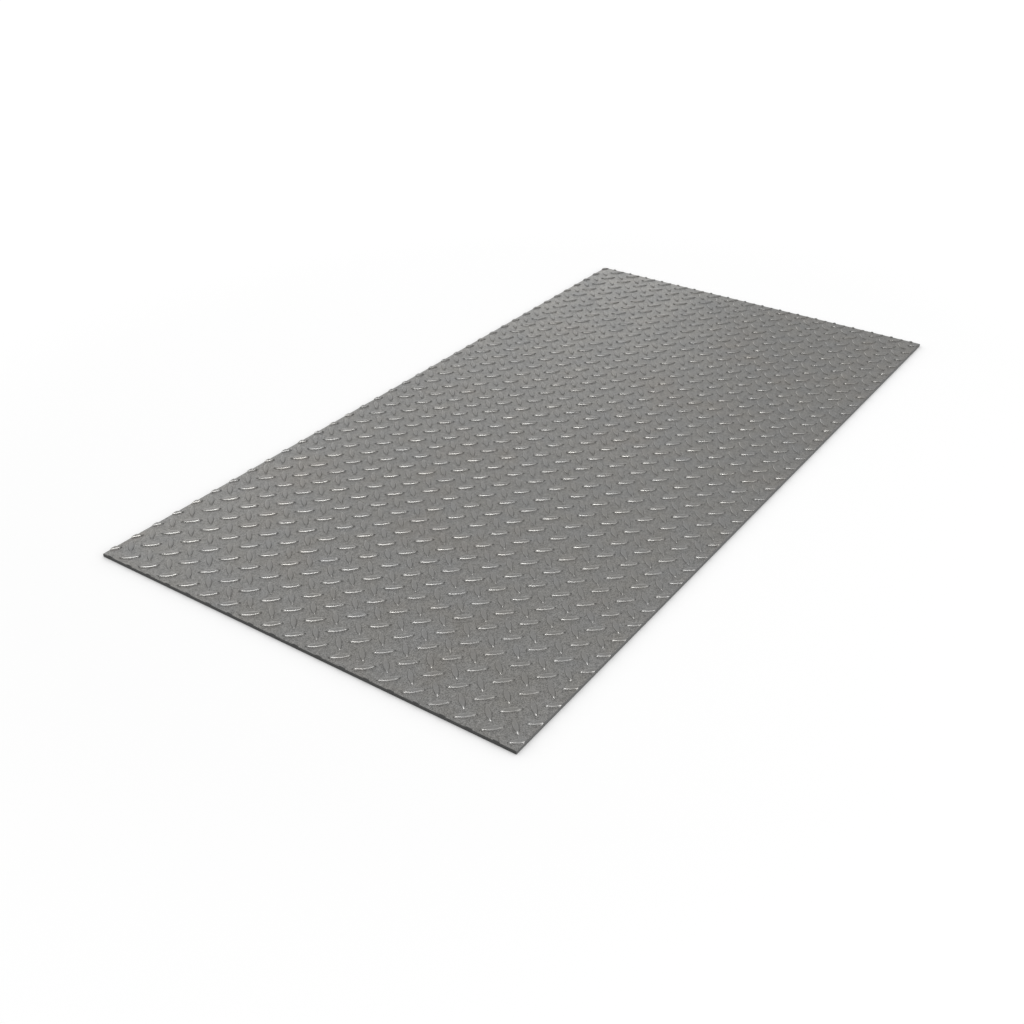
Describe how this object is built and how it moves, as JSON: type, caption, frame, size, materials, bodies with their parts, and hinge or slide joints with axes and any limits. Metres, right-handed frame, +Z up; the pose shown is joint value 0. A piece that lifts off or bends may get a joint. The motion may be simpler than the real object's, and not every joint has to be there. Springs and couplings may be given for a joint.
{
  "type": "checker plate",
  "caption": "Rectangular sheet of hot-rolled steel floor plate with a rolled pattern of crossed pointed lugs on top and a smooth underside.",
  "frame": {"origin": "middle of the smooth underside, on the floor", "axes": "+X along the length, +Y across the width, +Z up out of the patterned face"},
  "size_m": [1.25, 0.625, 0.006],
  "materials": {
    "rolled_steel": "hot-rolled mill finish"
  },
  "bodies": {
    "root": {"plate": "rolled_steel"}
  },
  "joints": []
}
